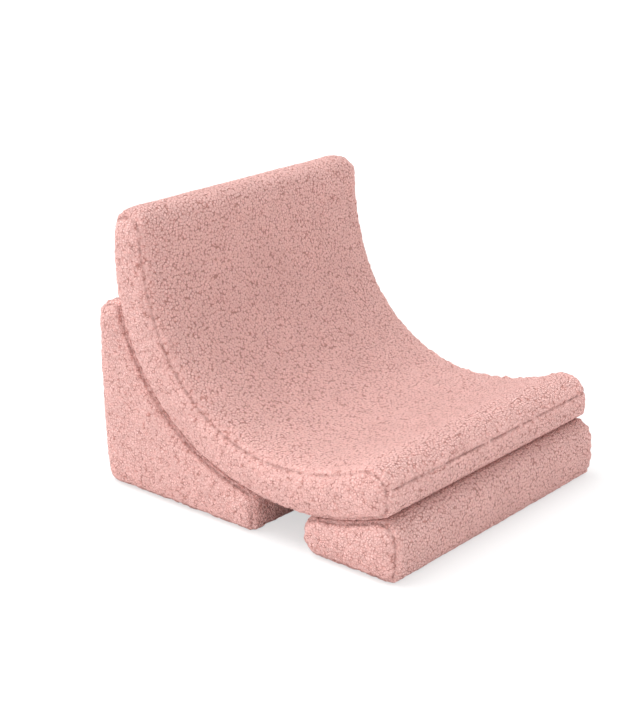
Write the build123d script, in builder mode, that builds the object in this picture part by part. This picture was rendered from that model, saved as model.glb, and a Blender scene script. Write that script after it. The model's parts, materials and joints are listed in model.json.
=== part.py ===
from build123d import *
from math import acos, asin, cos, degrees, radians, sin, sqrt
import os

# The chair is three loose foam forms in zipped cloth covers: a curved seat, a
# wedge behind it and a wedge under its front. Lengths are in millimetres. X runs
# across the chair, -Y is where the sitter's legs hang, Z is up and the floor is 0.

# Overall
chair_width = 500.0
cover = 5.0
rest_gap = 0.3

# Sitting face of the seat in the side view, from its front end to its top
seat_clear = 56.0
seat_thick = 64.0
sit_low_y = -68.5
sit_front_radius = 368.0
sit_radius = 241.0
sit_back_radius = 379.0
sit_back_from = 69.0
seat_front_y = -273.5
seat_top_z = 440.0

# Underside of the seat in the side view, which both wedges carry
under_low_y = -91.5
under_radius = 416.0
under_back_radius = 294.5
under_back_from = 19.3

# Rounding of the seat's two ends in the side view
nose_top_round = 36.0
nose_low_round = 18.0
top_round = 23.0

# Rear wedge in the side view
rear_nose_y = -26.5
rear_back_y = 287.5
rear_crest_z = 297.0
rear_back_crown = 4.0
rear_nose_low_round = 12.0
rear_nose_top_round = 8.0
rear_crest_round = 7.0
rear_shoulder_round = 28.0
rear_heel_round = 18.0

# Front wedge in the side view
front_face_y = -287.5
front_tail_y = -118.5
front_face_crown = 4.0
front_brow_round = 30.0
front_toe_round = 14.0
front_tail_round = 25.0

# Soft edges along the sides, and the crowns of the faces
edge_round = 14.0
top_edge_round = 28.0
side_crown = 3.0
side_crown_run = 6.0
sit_crown = 4.0
calm_runs = (55.0, 110.0)
flat_cut = 0.5

# Seams
side_seam_in = 9.0
seat_seam_depth = 42.0
base_seam_z = 12.0
rear_top_seam_y = 257.5
front_top_seam_y = -213.5

# Zips: a slot in the cover, with two tapes, two coils, two stops and a slider
zip_length = 400.0
zip_slot = 14.0
zip_depth = 2.6
zip_end_room = 2.0
groove_room = 0.8
tape_thick = 0.8
coil_width = 2.1
coil_height = 2.2
coil_split = 1.4
coil_round = 0.6
stop_length = 3.0
stop_height = 2.6
seat_zip_z = 400.0
rear_zip_z = 34.0
front_zip_z = 28.0

# Slider and its pull
slider_length = 11.0
slider_width = 9.2
slider_plate = 1.2
slider_round = 2.0
slider_running = 0.3
slider_stop_gap = 0.5
post_length = 2.5
post_width = 0.8
bridge_length = 7.0
bridge_foot = 1.0
bridge_bar = 0.9
bridge_width = 1.6
pull_length = 20.0
pull_width = 6.0
pull_thick = 1.0
pull_arm = 1.2
pull_pin_room = 0.3
pull_window = 4.2
pull_round = 1.5

# Worked out from the sizes above
half_width = chair_width / 2
side_plane = half_width - side_crown
seam_x = half_width - side_seam_in
sit_low_z = seat_clear + seat_thick
far = 4 * chair_width


def on_circle(centre, radius, angle):
    """Point on a circle, at an angle from straight down towards the rear."""
    return (centre[0] + radius * sin(radians(angle)), centre[1] - radius * cos(radians(angle)))


sit_front_centre = (sit_low_y, sit_low_z + sit_front_radius)
sit_centre = (sit_low_y, sit_low_z + sit_radius)
sit_back_centre = on_circle(sit_centre, sit_radius - sit_back_radius, sit_back_from)
under_front_centre = (under_low_y, seat_clear + under_radius)
under_back_centre = on_circle(under_front_centre, under_radius - under_back_radius, under_back_from)


def angle_at_y(centre, radius, y):
    return degrees(asin((y - centre[0]) / radius))


def angle_at_z(centre, radius, z):
    return degrees(acos((centre[1] - z) / radius))


def sit_arcs(depth, front_y, top_z):
    """Arcs of the sitting face moved into the foam: centre, radius and two angles."""
    start = angle_at_y(sit_front_centre, sit_front_radius + depth, front_y)
    end = angle_at_z(sit_back_centre, sit_back_radius + depth, top_z)
    return [
        (sit_front_centre, sit_front_radius + depth, start, 0.0),
        (sit_centre, sit_radius + depth, 0.0, sit_back_from),
        (sit_back_centre, sit_back_radius + depth, sit_back_from, end),
    ]


def under_arcs(depth, front_y, end):
    """Arcs of the underside moved into the seat, from a front place to a rear angle."""
    start = angle_at_y(under_front_centre, under_radius - depth, front_y)
    return [
        (under_front_centre, under_radius - depth, start, under_back_from),
        (under_back_centre, under_back_radius - depth, under_back_from, end),
    ]


def draw_arcs(arcs):
    for centre, radius, start, end in arcs:
        CenterArc(centre, radius, start - 90, end - start)


def first_point(arcs):
    centre, radius, start, _ = arcs[0]
    return on_circle(centre, radius, start)


def last_point(arcs):
    centre, radius, _, end = arcs[-1]
    return on_circle(centre, radius, end)


def round_corner(section, corner, radius):
    """Round the outline's corner that lies nearest to a point."""
    fillet(section.vertices().sort_by_distance(Vector(*corner))[0], radius)


def edge_in(s, radius):
    """How far a soft edge draws a face in, at a distance s from the side."""
    return radius - sqrt(radius**2 - max(radius - s, 0.0) ** 2)


def side_steps(skin):
    """Sections across a form: place in X, distance from its side, and extra draw-in."""
    plane = side_plane - skin
    radius = edge_round - skin
    steps = [(plane + side_crown, 0.0, side_crown_run), (plane, 0.0, 0.0)]
    for turn in (25.0, 52.0, 90.0):
        s = radius * (1 - cos(radians(turn)))
        steps.append((plane - s, s, 0.0))
    for s in (top_edge_round - skin, *calm_runs):
        steps.append((plane - s, s, 0.0))
    mirrored = [(-x, s, run) for x, s, run in reversed(steps)]
    return steps + [(0.0, plane, 0.0)] + mirrored


def crown_at(x, height):
    return height * (1 - min(abs(x) / side_plane, 1.0) ** 2)


def seat_section(x, edge, top_edge):
    front_y = seat_front_y + edge
    top_z = seat_top_z - top_edge
    sit = sit_arcs(edge - crown_at(x, sit_crown), front_y, top_z)
    under_in = edge - flat_cut
    under_end = angle_at_z(under_back_centre, under_back_radius - under_in, top_z)
    under = under_arcs(under_in, front_y, under_end)
    nose_height = first_point(sit)[1] - first_point(under)[1]
    top_width = last_point(under)[0] - last_point(sit)[0]
    with BuildSketch(Plane.YZ.offset(x)) as section:
        with BuildLine():
            draw_arcs(sit)
            Line(last_point(sit), last_point(under))
            draw_arcs(under)
            Line(first_point(under), first_point(sit))
        make_face()
        round_corner(section, first_point(under), min(nose_low_round, 0.2 * nose_height))
        round_corner(section, first_point(sit), min(nose_top_round, 0.41 * nose_height))
        round_corner(section, last_point(sit), min(top_round, 0.45 * top_width))
        round_corner(section, last_point(under), min(top_round, 0.45 * top_width))
    return section.sketch


def lofted(faces):
    with BuildPart() as form:
        loft(faces)
    return form.part


def seat_form(skin):
    """The seat, or what is left of it under a skin of the given thickness."""
    faces = []
    for x, s, run in side_steps(skin):
        edge = skin + edge_in(s, edge_round - skin) + run
        top_edge = skin + edge_in(s, top_edge_round - skin) + run
        faces.append(seat_section(x, edge, top_edge))
    soft = lofted(faces)
    past_top = angle_at_z(under_back_centre, under_back_radius, seat_top_z + edge_round)
    above = above_arcs(under_arcs(skin, seat_front_y - edge_round, past_top))
    with BuildPart() as form:
        add(soft)
        add(above, mode=Mode.INTERSECT)
    return form.part


def above_arcs(arcs):
    """Everything over a run of arcs, right across the chair and far up."""
    start = first_point(arcs)
    end = last_point(arcs)
    with BuildPart() as above:
        with BuildSketch(Plane.YZ):
            with BuildLine():
                draw_arcs(arcs)
                Polyline(end, (end[0], far), (start[0], far), start)
            make_face()
        extrude(amount=chair_width, both=True)
    return above.part


rear_crest_angle = angle_at_z(under_back_centre, under_back_radius + rest_gap, rear_crest_z)


def rear_shoulder_z(back_y, edge):
    """Height at which the wedge's top, moved in by an edge, meets its back."""
    turn = radians(rear_crest_angle)
    reach = (back_y - under_back_centre[0] + edge * cos(turn)) / sin(turn)
    return under_back_centre[1] - reach * cos(turn) - edge * sin(turn)


def rear_section(x, edge):
    nose_y = rear_nose_y + edge
    back_y = rear_back_y - rear_back_crown - edge
    low_z = edge - flat_cut
    depth = flat_cut - rest_gap - edge
    crest = rear_crest_angle - degrees(asin(edge / (under_back_radius - depth)))
    cradle = under_arcs(depth, nose_y, crest)
    shoulder = (back_y, rear_shoulder_z(back_y, edge))
    nose_height = first_point(cradle)[1] - low_z
    crest_width = back_y - last_point(cradle)[0]
    with BuildSketch(Plane.YZ.offset(x)) as section:
        with BuildLine():
            draw_arcs(cradle)
            Line(last_point(cradle), shoulder)
            middle = (back_y + rear_back_crown, (low_z + shoulder[1]) / 2)
            ThreePointArc(shoulder, middle, (back_y, low_z))
            Polyline((back_y, low_z), (nose_y, low_z), first_point(cradle))
        make_face()
        round_corner(section, first_point(cradle), min(rear_nose_top_round, 0.3 * nose_height))
        round_corner(section, (nose_y, low_z), min(rear_nose_low_round, 0.3 * nose_height))
        round_corner(section, (back_y, low_z), rear_heel_round)
        round_corner(section, last_point(cradle), min(rear_crest_round, 0.2 * crest_width))
        round_corner(section, shoulder, min(rear_shoulder_round, 0.6 * crest_width))
    return section.sketch


def front_section(x, edge):
    face_y = front_face_y + front_face_crown + edge
    tail_y = front_tail_y - edge
    low_z = edge - flat_cut
    radius = under_radius + rest_gap + edge - flat_cut
    start = angle_at_y(under_front_centre, radius, face_y)
    end = angle_at_y(under_front_centre, radius, tail_y)
    top = [(under_front_centre, radius, start, end)]
    face_height = first_point(top)[1] - low_z
    tail_height = last_point(top)[1] - low_z
    with BuildSketch(Plane.YZ.offset(x)) as section:
        with BuildLine():
            draw_arcs(top)
            Polyline(last_point(top), (tail_y, low_z), (face_y, low_z))
            middle = (face_y - front_face_crown, low_z + face_height / 2)
            ThreePointArc((face_y, low_z), middle, first_point(top))
        make_face()
        round_corner(section, first_point(top), min(front_brow_round, 0.28 * face_height))
        round_corner(section, (face_y, low_z), min(front_toe_round, 0.28 * face_height))
        round_corner(section, last_point(top), min(front_tail_round, 0.44 * tail_height))
        round_corner(section, (tail_y, low_z), min(front_tail_round, 0.44 * tail_height))
    return section.sketch


def wedge_form(section, skin):
    """A wedge cut flat where it stands and cut to the seat's underside where it carries it."""
    faces = []
    for x, s, run in side_steps(skin):
        faces.append(section(x, skin + edge_in(s, edge_round - skin) + run))
    soft = lofted(faces)
    past_crest = rear_crest_angle + degrees(edge_round / under_back_radius)
    carried = above_arcs(under_arcs(-rest_gap - skin, front_face_y - edge_round, past_crest))
    with BuildPart() as form:
        add(soft)
        add(carried, mode=Mode.SUBTRACT)
        with Locations((0, 0, skin)):
            Box(far, far, far, align=(Align.CENTER, Align.CENTER, Align.MIN), mode=Mode.INTERSECT)
    return form.part


def side_panel(shape, core, side):
    """The cover's panel on one side, from the side seam out."""
    inner = Align.MIN if side > 0 else Align.MAX
    with BuildPart() as panel:
        add(shape)
        add(core, mode=Mode.SUBTRACT)
        with Locations((side * seam_x, 0, 0)):
            Box(far, far, far, align=(inner, Align.CENTER, Align.CENTER), mode=Mode.INTERSECT)
    return panel.part


def belt(shape, core):
    """The rest of the cover, which goes round between the two side seams."""
    with BuildPart() as panel:
        add(shape)
        add(core, mode=Mode.SUBTRACT)
        Box(2 * seam_x, far, far, mode=Mode.INTERSECT)
    return panel.part


def zip_plane(point, normal):
    """Plane of a zip's tapes, under a point of the cover's face, with Z outwards."""
    origin = (0, point[0] - zip_depth * normal[0], point[1] - zip_depth * normal[1])
    return Plane(origin=origin, x_dir=(1, 0, 0), z_dir=(0, normal[0], normal[1]))


# Places along and across a zip, in its own plane
chain_length = zip_length - 2 * stop_length
coil_y = (coil_split + coil_width) / 2
tape_inner = coil_split / 2 + coil_width
tape_width = zip_slot / 2 - tape_inner
plate_low = coil_height / 2 + slider_running
plate_high = plate_low + slider_plate
slider_x = chain_length / 2 - slider_stop_gap - slider_length / 2
slider_travel = chain_length - slider_length - 2 * slider_stop_gap
pin_z = plate_high + pull_pin_room + pull_thick / 2
bridge_low = pin_z + pull_thick / 2 + pull_pin_room
bridge_high = bridge_low + bridge_bar


def zip_slot_cut(plane):
    """What the cover's panels lose along a zip."""
    with BuildPart(plane) as cut:
        Box(zip_length + 2 * zip_end_room, zip_slot, 4 * cover)
    return cut.part


def zip_groove_cut(plane):
    """What the foam loses under a zip, so that the slider's lower plate runs clear."""
    low = plate_high + groove_room
    with BuildPart(plane) as cut:
        with Locations((0, 0, -low)):
            Box(
                zip_length + 2 * zip_end_room,
                slider_width + 2 * groove_room,
                4 * cover,
                align=(Align.CENTER, Align.CENTER, Align.MIN),
            )
    return cut.part


def zip_tapes(plane):
    with BuildPart(plane) as tapes:
        with Locations((0, tape_inner + tape_width / 2, 0), (0, -tape_inner - tape_width / 2, 0)):
            Box(zip_length + 2 * zip_end_room, tape_width, tape_thick)
    return tapes.part


def zip_coils(plane):
    with BuildPart(plane) as coils:
        with Locations((0, coil_y, 0), (0, -coil_y, 0)):
            Box(chain_length, coil_width, coil_height)
        fillet(coils.edges().filter_by(Axis.X), coil_round)
    return coils.part


def zip_stops(plane):
    place = (zip_length - stop_length) / 2
    with BuildPart(plane) as stops:
        with Locations((place, 0, 0), (-place, 0, 0)):
            Box(stop_length, 2 * tape_inner, stop_height)
    return stops.part


def zip_slider(plane):
    foot_x = (bridge_length - bridge_foot) / 2
    with BuildPart(plane) as slider:
        for low in (plate_low, -plate_high):
            with BuildSketch(plane.offset(low)):
                with Locations((slider_x, 0)):
                    RectangleRounded(slider_length, slider_width, slider_round)
            extrude(amount=slider_plate)
        with Locations((slider_x + (slider_length - post_length) / 2 - post_width, 0, 0)):
            Box(post_length, post_width, 2 * plate_low)
        with Locations((slider_x + foot_x, 0, plate_high), (slider_x - foot_x, 0, plate_high)):
            Box(
                bridge_foot,
                bridge_width,
                bridge_high - plate_high,
                align=(Align.CENTER, Align.CENTER, Align.MIN),
            )
        with Locations((slider_x, 0, bridge_low)):
            Box(bridge_length, bridge_width, bridge_bar, align=(Align.CENTER, Align.CENTER, Align.MIN))
    return slider.part


def zip_pull(plane):
    """A flat tab with a window that goes round the bridge, and a pin under it."""
    with BuildPart(plane) as pull:
        with BuildSketch(plane.offset(pin_z - pull_thick / 2)):
            with Locations((slider_x + pull_thick / 2 - pull_length / 2, 0)):
                RectangleRounded(pull_length, pull_width, pull_round)
            with Locations((slider_x - (pull_thick + pull_window) / 2, 0)):
                Rectangle(pull_window, pull_width - 2 * pull_arm, mode=Mode.SUBTRACT)
        extrude(amount=pull_thick)
    return pull.part


pieces = {}


def add_zip(form_name, plane):
    """The loose pieces of one zip, each under the name of the form that it closes."""
    pieces[form_name + "_zip_tapes"] = zip_tapes(plane)
    pieces[form_name + "_zip_coils"] = zip_coils(plane)
    pieces[form_name + "_zip_stops"] = zip_stops(plane)
    pieces[form_name + "_zip_slider"] = zip_slider(plane)
    pieces[form_name + "_zip_pull"] = zip_pull(plane)
    place = plane.from_local_coords((slider_x, 0, pin_z))
    print(form_name, "zip pull turns at", place, "normal", plane.z_dir, "slider travel", slider_travel)


def add_sides(form_name, shape, core):
    pieces[form_name + "_side_left"] = side_panel(shape, core, 1)
    pieces[form_name + "_side_right"] = side_panel(shape, core, -1)


# Seat
seat_shape = seat_form(0.0)
seat_core = seat_form(cover)
seat_belt = belt(seat_shape, seat_core)
seat_zip_angle = angle_at_z(under_back_centre, under_back_radius, seat_zip_z)
seat_zip_normal = (sin(radians(seat_zip_angle)), -cos(radians(seat_zip_angle)))
seat_zip_plane = zip_plane(on_circle(under_back_centre, under_back_radius, seat_zip_angle), seat_zip_normal)
seat_slot = zip_slot_cut(seat_zip_plane)
seat_groove = zip_groove_cut(seat_zip_plane)

with BuildPart() as seat_foam:
    add(seat_core)
    add(seat_groove, mode=Mode.SUBTRACT)

with BuildPart() as sitting_side:
    seam = sit_arcs(seat_seam_depth, seat_front_y - edge_round, seat_zip_z)
    beyond = on_circle(under_back_centre, 2 * under_back_radius, seat_zip_angle)
    front_end = first_point(seam)
    with BuildSketch(Plane.YZ):
        with BuildLine():
            draw_arcs(seam)
            Polyline(last_point(seam), beyond, (beyond[0], far), (front_end[0], far), front_end)
        make_face()
    extrude(amount=chair_width, both=True)

with BuildPart() as seat_top_panel:
    add(seat_belt)
    add(sitting_side.part, mode=Mode.INTERSECT)
    add(seat_slot, mode=Mode.SUBTRACT)

with BuildPart() as seat_under_panel:
    add(seat_belt)
    add(sitting_side.part, mode=Mode.SUBTRACT)
    add(seat_slot, mode=Mode.SUBTRACT)

pieces["seat_foam"] = seat_foam.part
pieces["seat_top_panel"] = seat_top_panel.part
pieces["seat_under_panel"] = seat_under_panel.part
add_sides("seat", seat_shape, seat_core)
add_zip("seat", seat_zip_plane)

# Rear wedge
rear_shape = wedge_form(rear_section, 0.0)
rear_core = wedge_form(rear_section, cover)
rear_belt = belt(rear_shape, rear_core)
back_low_z = -flat_cut
back_high_z = rear_shoulder_z(rear_back_y - rear_back_crown, 0.0)
back_middle_z = (back_low_z + back_high_z) / 2
back_half = (back_high_z - back_low_z) / 2
back_radius = (back_half**2 + rear_back_crown**2) / (2 * rear_back_crown)
back_rise = (rear_zip_z - back_middle_z) / back_radius
back_reach = sqrt(1 - back_rise**2)
rear_zip_point = (rear_back_y - back_radius * (1 - back_reach), rear_zip_z)
rear_zip_plane = zip_plane(rear_zip_point, (back_reach, back_rise))
rear_slot = zip_slot_cut(rear_zip_plane)
rear_groove = zip_groove_cut(rear_zip_plane)

with BuildPart() as rear_foam:
    add(rear_core)
    add(rear_groove, mode=Mode.SUBTRACT)

with BuildPart() as rear_base_panel:
    add(rear_belt)
    with Locations((0, 0, base_seam_z)):
        Box(far, far, far, align=(Align.CENTER, Align.CENTER, Align.MAX), mode=Mode.INTERSECT)

with BuildPart() as rear_back_panel:
    add(rear_belt)
    with Locations((0, rear_top_seam_y, base_seam_z)):
        Box(far, far, far, align=(Align.CENTER, Align.MIN, Align.MIN), mode=Mode.INTERSECT)
    add(rear_slot, mode=Mode.SUBTRACT)

with BuildPart() as rear_cradle_panel:
    add(rear_belt)
    with Locations((0, rear_top_seam_y, base_seam_z)):
        Box(far, far, far, align=(Align.CENTER, Align.MAX, Align.MIN), mode=Mode.INTERSECT)

pieces["rear_foam"] = rear_foam.part
pieces["rear_base_panel"] = rear_base_panel.part
pieces["rear_back_panel"] = rear_back_panel.part
pieces["rear_cradle_panel"] = rear_cradle_panel.part
add_sides("rear", rear_shape, rear_core)
add_zip("rear", rear_zip_plane)

# Front wedge
front_shape = wedge_form(front_section, 0.0)
front_core = wedge_form(front_section, cover)
front_belt = belt(front_shape, front_core)
front_zip_plane = zip_plane((front_tail_y, front_zip_z), (1.0, 0.0))
front_slot = zip_slot_cut(front_zip_plane)
front_groove = zip_groove_cut(front_zip_plane)

with BuildPart() as front_foam:
    add(front_core)
    add(front_groove, mode=Mode.SUBTRACT)

with BuildPart() as front_base_panel:
    add(front_belt)
    with Locations((0, 0, base_seam_z)):
        Box(far, far, far, align=(Align.CENTER, Align.CENTER, Align.MAX), mode=Mode.INTERSECT)

with BuildPart() as front_face_panel:
    add(front_belt)
    with Locations((0, front_top_seam_y, base_seam_z)):
        Box(far, far, far, align=(Align.CENTER, Align.MAX, Align.MIN), mode=Mode.INTERSECT)

with BuildPart() as front_tail_panel:
    add(front_belt)
    with Locations((0, front_top_seam_y, base_seam_z)):
        Box(far, far, far, align=(Align.CENTER, Align.MIN, Align.MIN), mode=Mode.INTERSECT)
    add(front_slot, mode=Mode.SUBTRACT)

pieces["front_foam"] = front_foam.part
pieces["front_base_panel"] = front_base_panel.part
pieces["front_face_panel"] = front_face_panel.part
pieces["front_tail_panel"] = front_tail_panel.part
add_sides("front", front_shape, front_core)
add_zip("front", front_zip_plane)

os.makedirs("parts", exist_ok=True)
for name, piece in pieces.items():
    piece.label = name
    export_step(piece, "parts/" + name + ".step")
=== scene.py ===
import json
from math import cos, pi, radians, sin

import bmesh
import bpy
import numpy as np
from mathutils import Matrix, Vector, noise


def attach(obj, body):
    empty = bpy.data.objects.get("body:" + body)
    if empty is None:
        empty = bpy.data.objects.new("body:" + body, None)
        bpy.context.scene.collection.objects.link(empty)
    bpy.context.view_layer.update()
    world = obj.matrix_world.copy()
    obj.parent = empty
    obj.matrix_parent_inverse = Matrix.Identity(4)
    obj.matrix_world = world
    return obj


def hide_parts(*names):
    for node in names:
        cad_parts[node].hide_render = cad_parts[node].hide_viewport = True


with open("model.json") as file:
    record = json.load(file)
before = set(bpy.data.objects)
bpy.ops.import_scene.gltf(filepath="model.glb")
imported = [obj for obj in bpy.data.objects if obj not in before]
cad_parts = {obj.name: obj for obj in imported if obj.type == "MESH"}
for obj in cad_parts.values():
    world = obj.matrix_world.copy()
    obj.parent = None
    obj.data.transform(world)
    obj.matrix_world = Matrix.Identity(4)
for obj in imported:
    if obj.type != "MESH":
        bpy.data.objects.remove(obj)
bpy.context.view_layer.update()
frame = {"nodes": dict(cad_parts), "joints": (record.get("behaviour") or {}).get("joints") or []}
nodes = frame["nodes"]
scene = bpy.context.scene
forms = ("seat", "rear", "front")
bodies = {"seat": "seat", "rear": "rear_wedge", "front": "front_wedge"}
panels = {
    "seat": ("top_panel", "under_panel", "side_left", "side_right"),
    "rear": ("base_panel", "back_panel", "cradle_panel", "side_left", "side_right"),
    "front": ("base_panel", "face_panel", "tail_panel", "side_left", "side_right"),
}

# Sizes in metres. The two arcs of the side view are the seat's underside.
under_front_centre = (-0.0915, 0.472)
under_front_radius = 0.416
under_back_from = radians(19.3)
under_back_radius = 0.2945
rest_gap = 0.0003
floor_gap = 0.0001

# Seams: planes across the chair, and flat ones that end at the side seams
side_seam_x = 0.241
nose_seam_z = 0.133
nose_reach_y = -0.235
base_seam_z = 0.012
rear_top_seam_y = 0.2575
rear_top_seam_above = 0.2
front_top_seam_y = -0.2135
front_top_seam_above = 0.04
base_seam_strength = 0.3
top_seam_strength = 0.6
seam_cuts = (0.0, 0.002, 0.0045, 0.008)
cut_reach = 0.006
cut_snap = 0.0003
seam_deep = 0.0032
seam_half = 0.0016
pucker_size = 0.008
pucker_high = 0.0019
pucker_mean = 0.25
pucker_swing = 1.5
stitch_size = 0.0065
stitch_mean = 0.75
stitch_swing = 1.1
stitch_least = 0.15
pucker_from_seam = 0.0058
pucker_reach = 0.0045
tufted_beside = 0.011

# Cloth of the covers
cover_voxel = 0.0062
start_inside = 0.0024
swell_cap = 0.0045
most_inside = 0.0010
most_outside = 0.0022
cloth_pressure = 4.0
last_frame = 20
pile_proud = 0.0014
curl_size = 0.0052
curl_high = 0.0005
tuft_size = 0.019
tuft_high = 0.0004
heap_slope = 2.1
pattern_step = 7.0

# The pile's material: sizes of its marks, their shares of the height, and colours, with painted
# shade between the curls and along the seams and painted light on the tops of the heaps
patch_size = 0.035
coarse_curl = 0.0064
fine_curl = 0.0039
loop_size = 0.0017
fibre_size = 0.0007
bend_size = 0.006
bend_reach = 0.0022
curl_relief = 0.0030
heap_share = 0.62
gap_share = 0.38
gap_slope = 4.5
loop_share = -0.3
fibre_share = 0.12
coarse_beside = 0.8
# Strength of the painted shade along the seams
crease_shade_share = 0.55
# Colours by height of the pile: the two darkest are painted shade between the curls, the lightest
# is painted light on the tops of the heaps
crevice_shade_colour = (0.550, 0.241, 0.204)
shade_colour = (0.800, 0.402, 0.364)
pile_colour = (0.930, 0.527, 0.484)
lit_tip_colour = (0.970, 0.593, 0.554)
# Painted shade along the seams, mixed over the pile's colours
crease_shade_colour = (0.360, 0.146, 0.125)

# Zips, each in its own frame: X along it, T across it and N out of the cover
zip_half = 0.202
slot_half = 0.007
slot_wall = 0.0009
slot_deep = 0.0058
zip_under_face = 0.0026
pull_over_face = 0.0008
pull_room_half = 0.0042
pull_room_end = 0.2135
pull_press = 0.0005
slot_near_across = 0.014
slot_near_out = 0.010
slot_snap = 0.0002
zip_face_near = 0.012
pile_from_slot = (0.0006, 0.006)
pile_from_pull = (0.0, 0.005)
press_from_pull = (0.0, 0.003)
hold_full = 0.010
hold_none = 0.026
chain_half = 0.197
coil_pitch = 0.0014
coil_middle = 0.0013
coil_half_width = 0.0013
coil_half_height = 0.00085
coil_wire = 0.00034
turn_steps = 10
wire_steps = 4
metal_edge = 0.00025

# Foam
foam_voxel = 0.006
foam_inside = 0.0020

# Light, floor and camera
world_light = 0.962
key_from = Vector((-0.15, 0.35, 0.92))
key_light = 1.935
key_spread = radians(35.0)
rim_from = Vector((-0.15, 0.85, 0.5))
rim_light = 0.732
rim_spread = radians(20.0)
floor_half = 12.0
floor_z = -0.0002
floor_glow = 0.6
camera_turn = radians(-48.43)
camera_rise = radians(19.40)
camera_roll = radians(-0.95)
camera_distance = 2.4513
camera_right = 0.0601
camera_up = -0.1808
camera_lens = 79.04


def on_circle(centre, radius, angle):
    """Point on a circle, at an angle from straight down towards the rear."""
    return (centre[0] + radius * sin(angle), centre[1] - radius * cos(angle))


under_back_centre = on_circle(
    under_front_centre,
    under_front_radius - under_back_radius,
    under_back_from,
)


def under_distance(co):
    """How far points lie outside the seat's underside, and the way out, as arrays."""
    y, z = co[:, 1], co[:, 2]
    front_turn = np.arctan2(y - under_front_centre[0], under_front_centre[1] - z)
    front = front_turn < under_back_from
    centre_y = np.where(front, under_front_centre[0], under_back_centre[0])
    centre_z = np.where(front, under_front_centre[1], under_back_centre[1])
    radius = np.where(front, under_front_radius, under_back_radius)
    reach = np.hypot(y - centre_y, z - centre_z)
    way = np.stack([np.zeros(len(co)), (y - centre_y) / reach, (z - centre_z) / reach], axis=1)
    return reach - radius, way


def kept_apart(form, co):
    """Points pressed back to the floor and to the face that seat and wedges share."""
    away, way = under_distance(co)
    if form == "seat":
        over = np.maximum(away, 0.0)
    else:
        over = np.minimum(away - rest_gap, 0.0)
    co = co - way * over[:, None]
    co[:, 2] = np.maximum(co[:, 2], floor_gap)
    return co


def smooth_step(value, low, high):
    t = np.clip((value - low) / (high - low), 0.0, 1.0)
    return t * t * (3 - 2 * t)


# Meshes as arrays

def points_of(mesh):
    co = np.empty(len(mesh.vertices) * 3, np.float32)
    mesh.vertices.foreach_get("co", co)
    return co.reshape(-1, 3).astype(float)


def normals_of(mesh):
    normal = np.empty(len(mesh.vertices) * 3, np.float32)
    mesh.vertex_normals.foreach_get("vector", normal)
    return normal.reshape(-1, 3).astype(float)


def set_points(mesh, co):
    mesh.vertices.foreach_set("co", co.astype(np.float32).ravel())
    mesh.update()


def new_object(name, mesh):
    obj = bpy.data.objects.new(name, mesh)
    scene.collection.objects.link(obj)
    return obj


def applied(obj):
    """Bakes an object's modifiers into its mesh."""
    graph = bpy.context.evaluated_depsgraph_get()
    mesh = bpy.data.meshes.new_from_object(obj.evaluated_get(graph))
    old = obj.data
    obj.modifiers.clear()
    obj.data = mesh
    bpy.data.meshes.remove(old)


def point_values(mesh, name, values):
    """Keeps one number for each vertex, for a material to read."""
    layer = mesh.attributes.new(name, "FLOAT", "POINT")
    layer.data.foreach_set("value", values.astype(np.float32))


def smooth_shaded(obj):
    obj.data.polygons.foreach_set("use_smooth", np.ones(len(obj.data.polygons), bool))


# Zip frames, from the joints of the pulls

class ZipFrame:
    """Where one zip lies: a point of the cover's face at mid-width, and the way out of it."""

    def __init__(self, form):
        joint = next(j for j in frame["joints"] if j["name"] == form + "_pull_turn")
        self.out = Vector((0.0, -joint["axis"][2], joint["axis"][1])).normalized()
        self.across = Vector((0.0, -self.out.z, self.out.y))
        pivot = Vector((0.0, joint["pos_m"][1], joint["pos_m"][2]))
        self.face = pivot - self.out * pull_over_face

    def place(self, along, across, out):
        """Point of the model at a place in the zip's frame."""
        return self.face + Vector((along, 0.0, 0.0)) + self.across * across + self.out * out

    def local(self, co):
        """Across and out of the zip's frame, for points as an array."""
        rel = co - np.array(self.face)
        return rel @ np.array(self.across), rel @ np.array(self.out)


zips = {form: ZipFrame(form) for form in forms}


# Covers

def filled_slot(bm, zip_frame):
    """A block that closes the slot of a zip, so that the cover can be remeshed as one form."""
    axes = Matrix((Vector((1, 0, 0)), zip_frame.across, zip_frame.out)).transposed().to_4x4()
    size = Matrix.Diagonal((2 * zip_half, 2 * slot_half, 2 * slot_deep, 1.0))
    place = Matrix.Translation(zip_frame.place(0.0, 0.0, -slot_deep))
    bmesh.ops.create_cube(bm, size=1.0, matrix=place @ axes @ size)


def joined_copy(name, parts, zip_frame=None):
    """One new object with copies of several nodes' meshes."""
    bm = bmesh.new()
    for part in parts:
        bm.from_mesh(nodes[part].data)
    if zip_frame:
        filled_slot(bm, zip_frame)
    mesh = bpy.data.meshes.new(name)
    bm.to_mesh(mesh)
    bm.free()
    return new_object(name, mesh)


def remeshed(obj, voxel):
    mod = obj.modifiers.new("remesh", "REMESH")
    mod.mode = "VOXEL"
    mod.voxel_size = voxel
    applied(obj)
    keep_outside(obj)


def keep_outside(obj):
    """Keeps only the largest of a mesh's separate shells."""
    bm = bmesh.new()
    bm.from_mesh(obj.data)
    left = set(bm.verts)
    shells = []
    while left:
        start = left.pop()
        shell = [start]
        for vert in shell:
            for edge in vert.link_edges:
                other = edge.other_vert(vert)
                if other in left:
                    left.remove(other)
                    shell.append(other)
        shells.append(shell)
    shells.sort(key=len)
    for shell in shells[:-1]:
        bmesh.ops.delete(bm, geom=shell, context="VERTS")
    bm.to_mesh(obj.data)
    bm.free()


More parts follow.
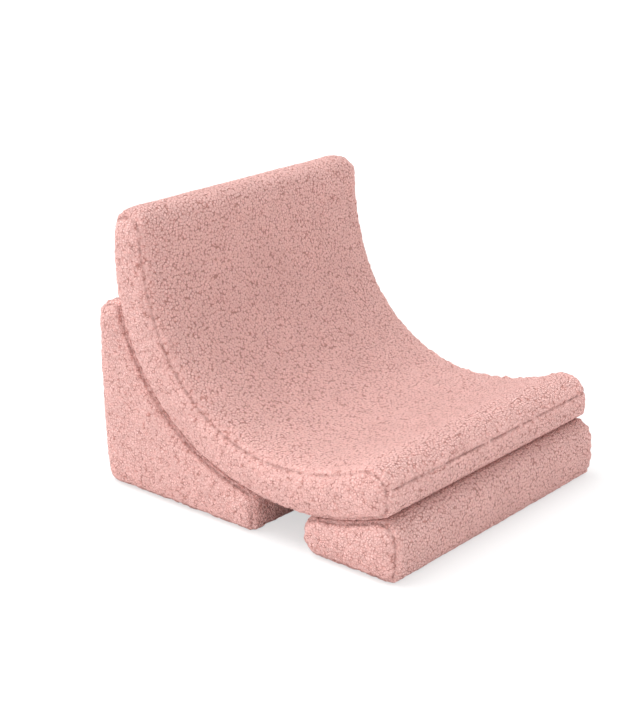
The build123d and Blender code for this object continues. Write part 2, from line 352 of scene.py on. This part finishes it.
def add_cloth(obj):
    """Cloth that swells under its own pressure, with no gravity."""
    cloth = obj.modifiers.new("cloth", "CLOTH")
    cloth.settings.quality = 4
    cloth.settings.mass = 0.3
    cloth.settings.tension_stiffness = 15
    cloth.settings.compression_stiffness = 15
    cloth.settings.shear_stiffness = 10
    cloth.settings.bending_stiffness = 2
    cloth.settings.use_pressure = True
    cloth.settings.uniform_pressure_force = cloth_pressure
    cloth.settings.effector_weights.gravity = 0
    cloth.collision_settings.use_collision = False
    cloth.point_cache.frame_start = 1
    cloth.point_cache.frame_end = last_frame


covers = {}
outer_points = {}
outer_normals = {}
start_points = {}
for form in forms:
    parts = [form + "_foam"] + [form + "_" + panel for panel in panels[form]]
    cover = joined_copy(form + "_cover", parts, zips[form])
    remeshed(cover, cover_voxel)
    outer = points_of(cover.data)
    outer_normals[form] = normals_of(cover.data)
    start = outer - outer_normals[form] * start_inside
    set_points(cover.data, start)
    covers[form] = cover
    outer_points[form] = outer
    start_points[form] = start

for cover in covers.values():
    add_cloth(cover)
for number in range(1, last_frame + 1):
    scene.frame_set(number)
for form in forms:
    applied(covers[form])
scene.frame_set(1)

for form in forms:
    start = start_points[form]
    moved = points_of(covers[form].data) - start
    length = np.linalg.norm(moved, axis=1)
    moved = moved * np.minimum(1.0, swell_cap / np.maximum(length, 1e-9))[:, None]
    grown = start + moved
    along = ((grown - outer_points[form]) * outer_normals[form]).sum(axis=1)
    stopped = np.clip(along, -most_inside, most_outside)
    grown = grown + outer_normals[form] * (stopped - along)[:, None]
    across, out = zips[form].local(outer_points[form])
    past_end = np.abs(outer_points[form][:, 0]) - zip_half
    off_zip = np.maximum(np.abs(across), np.abs(out))
    held = 1 - smooth_step(np.maximum(off_zip, past_end), hold_full, hold_none)
    blended = grown * (1 - held)[:, None] + outer_points[form] * held[:, None]
    set_points(covers[form].data, kept_apart(form, blended))
    subsurf = covers[form].modifiers.new("subdivide", "SUBSURF")
    subsurf.levels = 1
    subsurf.render_levels = 1
    applied(covers[form])


def cut(bm, point, normal, keep):
    """Adds an edge loop where a plane crosses the faces whose middles keep picks."""
    faces = [f for f in bm.faces if keep(f.calc_center_median())]
    edges = {e for f in faces for e in f.edges}
    verts = {v for f in faces for v in f.verts}
    geom = faces + list(edges) + list(verts)
    bmesh.ops.bisect_plane(bm, geom=geom, dist=cut_snap, plane_co=point, plane_no=normal)


class Seam:
    """A seam in a plane across one axis, over the part of the cover that reach names."""

    def __init__(self, axis, place, reach=None, strength=1.0):
        self.axis = axis
        self.place = place
        self.reach = reach
        self.strength = strength

    def holds(self, point, offset):
        """Whether a point is near the plane at an offset from the seam, and in its reach."""
        near = abs(point[self.axis] - self.place - offset) < cut_reach
        return near and (self.reach is None or self.reach(*point))

    def cut_into(self, bm):
        """Edge loops in the seam and at the offsets beside it."""
        normal = Vector((0.0, 0.0, 0.0))
        normal[self.axis] = 1.0
        for offset in sorted({-c for c in seam_cuts} | set(seam_cuts)):
            cut(bm, normal * (self.place + offset), normal, lambda p: self.holds(p, offset))

    def distance(self, co):
        """How far points lie from the seam, or a metre where it doesn't reach."""
        away = np.abs(co[:, self.axis] - self.place)
        if self.reach is not None:
            away = np.where(self.reach(co[:, 0], co[:, 1], co[:, 2]), away, 1.0)
        return away


def between_sides(x, y, z):
    return abs(x) < side_seam_x


def on_nose(x, y, z):
    return between_sides(x, y, z) & (y < nose_reach_y)


def on_rear_top(x, y, z):
    return between_sides(x, y, z) & (z > rear_top_seam_above)


def on_front_top(x, y, z):
    return between_sides(x, y, z) & (z > front_top_seam_above)


side_seams = [Seam(0, side_seam_x), Seam(0, -side_seam_x)]
base_seam = Seam(2, base_seam_z, between_sides, base_seam_strength)
rear_top_seam = Seam(1, rear_top_seam_y, on_rear_top, top_seam_strength)
front_top_seam = Seam(1, front_top_seam_y, on_front_top, top_seam_strength)
seams = {
    "seat": side_seams + [Seam(2, nose_seam_z, on_nose)],
    "rear": side_seams + [base_seam, rear_top_seam],
    "front": side_seams + [base_seam, front_top_seam],
}


def cut_slot(bm, zip_frame):
    """Edge loops along the borders of a zip's slot and of its wall."""
    def near(p):
        rel = p - zip_frame.face
        across, out = rel.dot(zip_frame.across), rel.dot(zip_frame.out)
        return abs(across) < slot_near_across and abs(out) < slot_near_out

    for inset in (0.0, slot_wall):
        for side in (1, -1):
            cut(bm, zip_frame.place(0.0, side * (slot_half + inset), 0.0), zip_frame.across, near)
            cut(bm, Vector((side * (zip_half + inset), 0.0, 0.0)), Vector((1, 0, 0)), near)


def noise_at(co, size, shift):
    """Smooth noise from about -1 to 1 at points, with lumps of a size."""
    offset = Vector((shift, 2 * shift, 3 * shift))
    return np.array([noise.noise(Vector(p) / size + offset) for p in co])


def curls_at(co, size, shift):
    """Rounded heaps with creases between them at points, from about -1 to 1."""
    offset = Vector((shift, 2 * shift, 3 * shift))
    nearest = np.array([noise.voronoi(Vector(p) / size + offset)[0][0] for p in co])
    return 1 - heap_slope * nearest


def seam_marks(form, co):
    """How strongly points lie in a seam, on the ridges beside one and around one."""
    line = np.zeros(len(co))
    beside = np.zeros(len(co))
    tufted = np.zeros(len(co))
    for seam in seams[form]:
        away = seam.distance(co)
        from_ridge = (away - pucker_from_seam) / pucker_reach
        line = np.maximum(line, seam.strength * np.exp(-((away / seam_half) ** 2)))
        beside = np.maximum(beside, seam.strength * np.exp(-(from_ridge**2)))
        tufted = np.maximum(tufted, seam.strength * np.exp(-((away / tufted_beside) ** 2)))
    return line, beside, tufted


def off_zip_parts(zip_frame, co):
    """How far points of the zip's face lie outside its slot and outside the pull's room."""
    across, out = zip_frame.local(co)
    in_face = np.abs(out) < zip_face_near
    off_slot = np.maximum(np.abs(across) - slot_half, np.abs(co[:, 0]) - zip_half)
    off_pull = np.maximum(np.abs(across) - pull_room_half, np.abs(co[:, 0]) - pull_room_end)
    return np.where(in_face, off_slot, 1.0), np.where(in_face, off_pull, 1.0)


for index, form in enumerate(forms):
    mesh = covers[form].data
    zip_frame = zips[form]
    bm = bmesh.new()
    bm.from_mesh(mesh)
    for seam in seams[form]:
        seam.cut_into(bm)
    cut_slot(bm, zip_frame)
    bm.normal_update()
    bm.to_mesh(mesh)
    bm.free()
    co = points_of(mesh)
    normal = normals_of(mesh)
    shift = pattern_step * (index + 1)
    line, beside, tufted = seam_marks(form, co)
    stitches = stitch_mean + stitch_swing * noise_at(co, stitch_size, shift)
    line = line * np.clip(stitches, stitch_least, 1.0)
    groove = -seam_deep * line
    gathers = pucker_mean + pucker_swing * noise_at(co, pucker_size, shift)
    puckers = pucker_high * beside * gathers
    off_slot, off_pull = off_zip_parts(zip_frame, co)
    free = smooth_step(off_slot, *pile_from_slot) * smooth_step(off_pull, *pile_from_pull)
    curls = curl_high * curls_at(co, curl_size, shift)
    pile = pile_proud + curls + tuft_high * noise_at(co, tuft_size, -shift)
    pressed = -pull_press * (1 - smooth_step(off_pull, *press_from_pull))
    co = co + normal * ((groove + puckers + pile) * free + pressed)[:, None]
    co = kept_apart(form, co)
    co[off_slot < slot_snap] -= np.array(zip_frame.out) * slot_deep
    set_points(mesh, co)
    # The seam lines, which the material darkens with painted shade
    point_values(mesh, "crease", line * free)
    point_values(mesh, "beside_seam", tufted * free)
    smooth_shaded(covers[form])
    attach(covers[form], bodies[form])
    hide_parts(*[form + "_" + panel for panel in panels[form]])


# Foam cores

cores = {}
for form in forms:
    core = joined_copy(form + "_core", [form + "_foam"])
    remeshed(core, foam_voxel)
    co = points_of(core.data) - normals_of(core.data) * foam_inside
    set_points(core.data, co)
    smooth_shaded(core)
    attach(core, bodies[form])
    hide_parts(form + "_foam")
    cores[form] = core


# Zip coils: two rows of nylon turns that reach between each other

def coil_mesh(name, zip_frame):
    turns = int(2 * chain_half / coil_pitch)
    verts = []
    faces = []
    for side in (1, -1):
        first = len(verts)
        count = turns * turn_steps
        for step in range(count + 1):
            angle = 2 * pi * step / turn_steps
            along = -chain_half + coil_pitch * step / turn_steps + (coil_pitch / 4) * side
            along = min(max(along, -chain_half), chain_half)
            across = side * (coil_middle + coil_half_width * cos(angle))
            height = coil_half_height * sin(angle)
            ring_out = (side * cos(angle), sin(angle))
            for corner in range(wire_steps):
                wire_turn = 2 * pi * (corner + 0.5) / wire_steps
                lift = coil_wire * cos(wire_turn)
                slide = coil_wire * sin(wire_turn)
                verts.append(
                    zip_frame.place(
                        along + slide,
                        across + lift * ring_out[0],
                        height + lift * ring_out[1] - zip_under_face,
                    )
                )
        for step in range(count):
            for corner in range(wire_steps):
                a = first + step * wire_steps + corner
                b = first + step * wire_steps + (corner + 1) % wire_steps
                faces.append((a, b, b + wire_steps, a + wire_steps))
        last = first + count * wire_steps
        faces.append(tuple(range(first + wire_steps - 1, first - 1, -1)))
        faces.append(tuple(range(last, last + wire_steps)))
    mesh = bpy.data.meshes.new(name)
    mesh.from_pydata(verts, [], faces)
    mesh.update()
    return mesh


coils = {}
for form in forms:
    coil = new_object(form + "_coil_turns", coil_mesh(form + "_coil_turns", zips[form]))
    smooth_shaded(coil)
    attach(coil, bodies[form])
    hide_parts(form + "_zip_coils")
    coils[form] = coil


# Materials

class Tree:
    """A node tree with short calls to add and join its nodes."""

    def __init__(self, tree):
        self.nodes = tree.nodes
        self.links = tree.links

    def add(self, kind, inputs=None, **settings):
        node = self.nodes.new(kind)
        for key, value in settings.items():
            setattr(node, key, value)
        for key, value in (inputs or {}).items():
            if isinstance(value, bpy.types.NodeSocket):
                self.links.new(value, node.inputs[key])
            else:
                node.inputs[key].default_value = value
        return node

    def math(self, operation, a, b=0.0, c=0.0):
        node = self.add("ShaderNodeMath", operation=operation)
        for socket, value in zip(node.inputs, (a, b, c)):
            if isinstance(value, bpy.types.NodeSocket):
                self.links.new(value, socket)
            else:
                socket.default_value = value
        return node.outputs[0]

    def ramp(self, value, *stops):
        node = self.add("ShaderNodeValToRGB", {"Fac": value})
        while len(node.color_ramp.elements) < len(stops):
            node.color_ramp.elements.new(0.5)
        for element, (place, colour) in zip(node.color_ramp.elements, stops):
            element.position = place
            element.color = (*colour, 1.0)
        return node.outputs["Color"]

    def mix(self, kind, factor, a, b):
        node = self.add("ShaderNodeMix", {"Factor": factor}, data_type="RGBA", blend_type=kind)
        for index, value in ((6, a), (7, b)):
            if isinstance(value, bpy.types.NodeSocket):
                self.links.new(value, node.inputs[index])
            else:
                node.inputs[index].default_value = (*value, 1.0)
        return node.outputs[2]


class Material(Tree):
    """A material with one shader, and textures that lie on the object."""

    def __init__(self, name):
        self.mat = bpy.data.materials.new(name)
        self.mat.use_nodes = True
        super().__init__(self.mat.node_tree)
        self.shader = self.nodes["Principled BSDF"]
        self.coords = self.add("ShaderNodeTexCoord").outputs["Object"]

    def set(self, **values):
        for key, value in values.items():
            socket = self.shader.inputs[key.replace("_", " ")]
            if isinstance(value, bpy.types.NodeSocket):
                self.links.new(value, socket)
            else:
                socket.default_value = value

    def noise(self, size, detail=2.0):
        inputs = {"Vector": self.coords, "Scale": 1 / size, "Detail": detail}
        return self.add("ShaderNodeTexNoise", inputs)

    def voronoi(self, size, vector=None, feature="F1"):
        inputs = {"Vector": vector or self.coords, "Scale": 1 / size}
        return self.add("ShaderNodeTexVoronoi", inputs, feature=feature)

    def bump(self, height, deep):
        return self.add("ShaderNodeBump", {"Height": height, "Distance": deep}).outputs["Normal"]


def teddy_cloth():
    """Curly pile: heaped loops a few millimetres across, darker between them with painted shade,
    lighter on their tops with painted light, and darker along the seams with painted shade.
    """
    m = Material("teddy_cloth")
    bend = m.noise(bend_size, detail=1.0)
    push = m.add(
        "ShaderNodeVectorMath",
        {0: bend.outputs["Color"], 1: (0.5, 0.5, 0.5)},
        operation="SUBTRACT",
    )
    push = m.add(
        "ShaderNodeVectorMath",
        {0: push.outputs[0], "Scale": bend_reach},
        operation="SCALE",
    )
    bent = m.add(
        "ShaderNodeVectorMath",
        {0: m.coords, 1: push.outputs[0]},
        operation="ADD",
    ).outputs[0]
    beside = m.add("ShaderNodeAttribute", attribute_name="beside_seam").outputs["Fac"]
    crease = m.add("ShaderNodeAttribute", attribute_name="crease").outputs["Fac"]
    fine = m.voronoi(fine_curl, bent).outputs["Distance"]
    coarse = m.voronoi(coarse_curl, bent).outputs["Distance"]
    toward_coarse = m.math("MULTIPLY", beside, coarse_beside)
    wider = m.math("MULTIPLY", m.math("SUBTRACT", coarse, fine), toward_coarse)
    curls = m.math("ADD", fine, wider)
    heaps = m.math("SUBTRACT", 1.0, m.math("MULTIPLY", curls, m.math("MULTIPLY", curls, 1.5)))
    loops = m.voronoi(loop_size, bent).outputs["Distance"]
    fibres = m.noise(fibre_size).outputs["Fac"]
    to_edge = m.voronoi(fine_curl, bent, "DISTANCE_TO_EDGE").outputs["Distance"]
    gaps = m.math("MINIMUM", m.math("MULTIPLY", to_edge, gap_slope), 1.0)
    height = m.math("MULTIPLY_ADD", gaps, gap_share, m.math("MULTIPLY", heaps, heap_share))
    height = m.math("MULTIPLY_ADD", loops, loop_share, height)
    height = m.math("MULTIPLY_ADD", fibres, fibre_share, height)
    # Painted shade and light: the colour darkens where the pile is low, between the curls, and
    # lightens on the tops of the heaps
    tone = m.ramp(
        height,
        (0.0, crevice_shade_colour),
        (0.24, shade_colour),
        (0.48, pile_colour),
        (0.78, lit_tip_colour),
    )
    # Painted shade along the seams, from the seam lines kept on the mesh
    tone = m.mix("MIX", m.math("MULTIPLY", crease, crease_shade_share), tone, crease_shade_colour)
    patches = m.noise(patch_size, detail=3.0).outputs["Fac"]
    shade = m.ramp(patches, (0.3, (0.93, 0.92, 0.92)), (0.7, (1.0, 1.0, 1.0)))
    m.set(
        Base_Color=m.mix("MULTIPLY", 1.0, tone, shade),
        Roughness=0.95,
        Sheen_Weight=0.25,
        Sheen_Roughness=0.6,
        Normal=m.bump(height, deep=curl_relief),
    )
    m.shader.inputs["Specular IOR Level"].default_value = 0.15
    m.shader.inputs["Sheen Tint"].default_value = (1.0, 0.82, 0.79, 1.0)
    return m.mat


def foam():
    """Pale open-cell foam, with painted shade in its pores."""
    m = Material("foam")
    cells = m.voronoi(size=0.0016).outputs["Distance"]
    patches = m.noise(size=0.02).outputs["Fac"]
    # Painted shade: darker in the middles of the cells, where the pores are
    tone = m.ramp(cells, (0.1, (0.55, 0.52, 0.44)), (0.5, (0.86, 0.84, 0.77)))
    shade = m.ramp(patches, (0.3, (0.94, 0.94, 0.93)), (0.7, (1.0, 1.0, 1.0)))
    m.set(
        Base_Color=m.mix("MULTIPLY", 1.0, tone, shade),
        Roughness=0.95,
        Normal=m.bump(cells, deep=0.0006),
    )
    return m.mat


def woven_tape():
    """Flat woven tape of a zip, ribbed across its length, with painted shade in the grooves
    between the ribs.
    """
    m = Material("zip_tape")
    ribs = m.add(
        "ShaderNodeTexWave",
        {"Vector": m.coords, "Scale": 1 / 0.0045, "Distortion": 0.3},
        wave_type="BANDS",
        bands_direction="X",
    ).outputs["Fac"]
    yarn = m.noise(size=0.0006).outputs["Fac"]
    height = m.math("MULTIPLY_ADD", yarn, 0.5, ribs)
    # Painted shade: darker where the ribs and yarns are low, lighter on their tops
    tone = m.ramp(height, (0.2, (0.40, 0.19, 0.17)), (1.1, (0.66, 0.38, 0.34)))
    m.set(Base_Color=tone, Roughness=0.85, Normal=m.bump(height, deep=0.0002))
    return m.mat


def nylon():
    """Satin nylon of the coils, with the faint grain of drawn wire."""
    m = Material("zip_coil")
    grain = m.noise(size=0.0012).outputs["Fac"]
    tone = m.ramp(grain, (0.3, (0.56, 0.32, 0.29)), (0.7, (0.66, 0.40, 0.36)))
    rough = m.math("MULTIPLY_ADD", grain, 0.2, 0.3)
    m.set(Base_Color=tone, Roughness=rough, Normal=m.bump(grain, deep=0.00004))
    return m.mat


def painted_zinc():
    """Cast zinc under satin paint, a little uneven."""
    m = Material("zip_metal")
    wear = m.noise(size=0.0025, detail=3.0).outputs["Fac"]
    tone = m.ramp(wear, (0.3, (0.50, 0.28, 0.26)), (0.7, (0.62, 0.37, 0.34)))
    rough = m.math("MULTIPLY_ADD", wear, 0.25, 0.25)
    m.set(Base_Color=tone, Roughness=rough, Metallic=0.35, Normal=m.bump(wear, deep=0.00005))
    return m.mat


def dress(obj, material):
    obj.data.materials.clear()
    obj.data.materials.append(material)


teddy = teddy_cloth()
foam_material = foam()
tape_material = woven_tape()
coil_material = nylon()
metal_material = painted_zinc()
for form in forms:
    dress(covers[form], teddy)
    dress(cores[form], foam_material)
    dress(coils[form], coil_material)
    dress(nodes[form + "_zip_tapes"], tape_material)
    for part in ("stops", "slider", "pull"):
        node = nodes[form + "_zip_" + part]
        dress(node, metal_material)
        bevel = node.modifiers.new("bevel", "BEVEL")
        bevel.width = metal_edge
        bevel.segments = 2
        bevel.limit_method = "ANGLE"


# Floor, light and camera

def floor_material():
    """White floor that keeps part of the object's shadow."""
    m = Material("floor")
    m.set(Base_Color=(0.93, 0.93, 0.93, 1.0), Roughness=0.9)
    glow = m.add("ShaderNodeEmission", {"Color": (1, 1, 1, 1), "Strength": 1.0})
    ray = m.add("ShaderNodeLightPath").outputs["Is Camera Ray"]
    amount = m.math("MULTIPLY", ray, floor_glow)
    mixed = m.add("ShaderNodeMixShader", {0: amount, 1: m.shader.outputs[0], 2: glow.outputs[0]})
    m.links.new(mixed.outputs[0], m.nodes["Material Output"].inputs["Surface"])
    return m.mat


bm = bmesh.new()
bmesh.ops.create_grid(bm, x_segments=1, y_segments=1, size=floor_half)
floor_mesh = bpy.data.meshes.new("floor")
bm.to_mesh(floor_mesh)
bm.free()
floor = new_object("floor", floor_mesh)
floor.location.z = floor_z
dress(floor, floor_material())

world = bpy.data.worlds.new("world")
scene.world = world
world.use_nodes = True
sky = Tree(world.node_tree)
rays = sky.add("ShaderNodeLightPath").outputs
seen = sky.math("MAXIMUM", rays["Is Camera Ray"], rays["Is Glossy Ray"])
seen = sky.math("MAXIMUM", seen, rays["Is Transmission Ray"])
level = sky.add("ShaderNodeMapRange", {"Value": seen, "To Min": world_light, "To Max": 1.0})
background = sky.nodes["Background"]
background.inputs["Color"].default_value = (1.0, 1.0, 1.0, 1.0)
sky.links.new(level.outputs["Result"], background.inputs["Strength"])


def sun(name, direction, energy, spread):
    """A soft distant lamp that shines from a direction."""
    lamp = bpy.data.lights.new(name, "SUN")
    lamp.energy = energy
    lamp.angle = spread
    obj = bpy.data.objects.new(name, lamp)
    scene.collection.objects.link(obj)
    obj.rotation_mode = "QUATERNION"
    obj.rotation_quaternion = direction.to_track_quat("Z", "Y")


sun("key", key_from, key_light, key_spread)
sun("rim", rim_from, rim_light, rim_spread)

# The camera looks along -back, as fitted to the photograph
back = Vector(
    (
        sin(camera_turn) * cos(camera_rise),
        -cos(camera_turn) * cos(camera_rise),
        sin(camera_rise),
    )
)
level_right = Vector((0, 0, 1)).cross(back).normalized()
level_up = back.cross(level_right)
right = level_right * cos(camera_roll) + level_up * sin(camera_roll)
up = level_up * cos(camera_roll) - level_right * sin(camera_roll)
camera = bpy.data.cameras.new("camera")
camera.sensor_width = 36.0
camera.lens = camera_lens
camera_object = bpy.data.objects.new("camera", camera)
scene.collection.objects.link(camera_object)
camera_object.rotation_mode = "QUATERNION"
camera_object.rotation_quaternion = Matrix((right, up, back)).transposed().to_quaternion()
camera_object.location = back * camera_distance - right * camera_right - up * camera_up
scene.camera = camera_object

scene.view_settings.view_transform = "Standard"
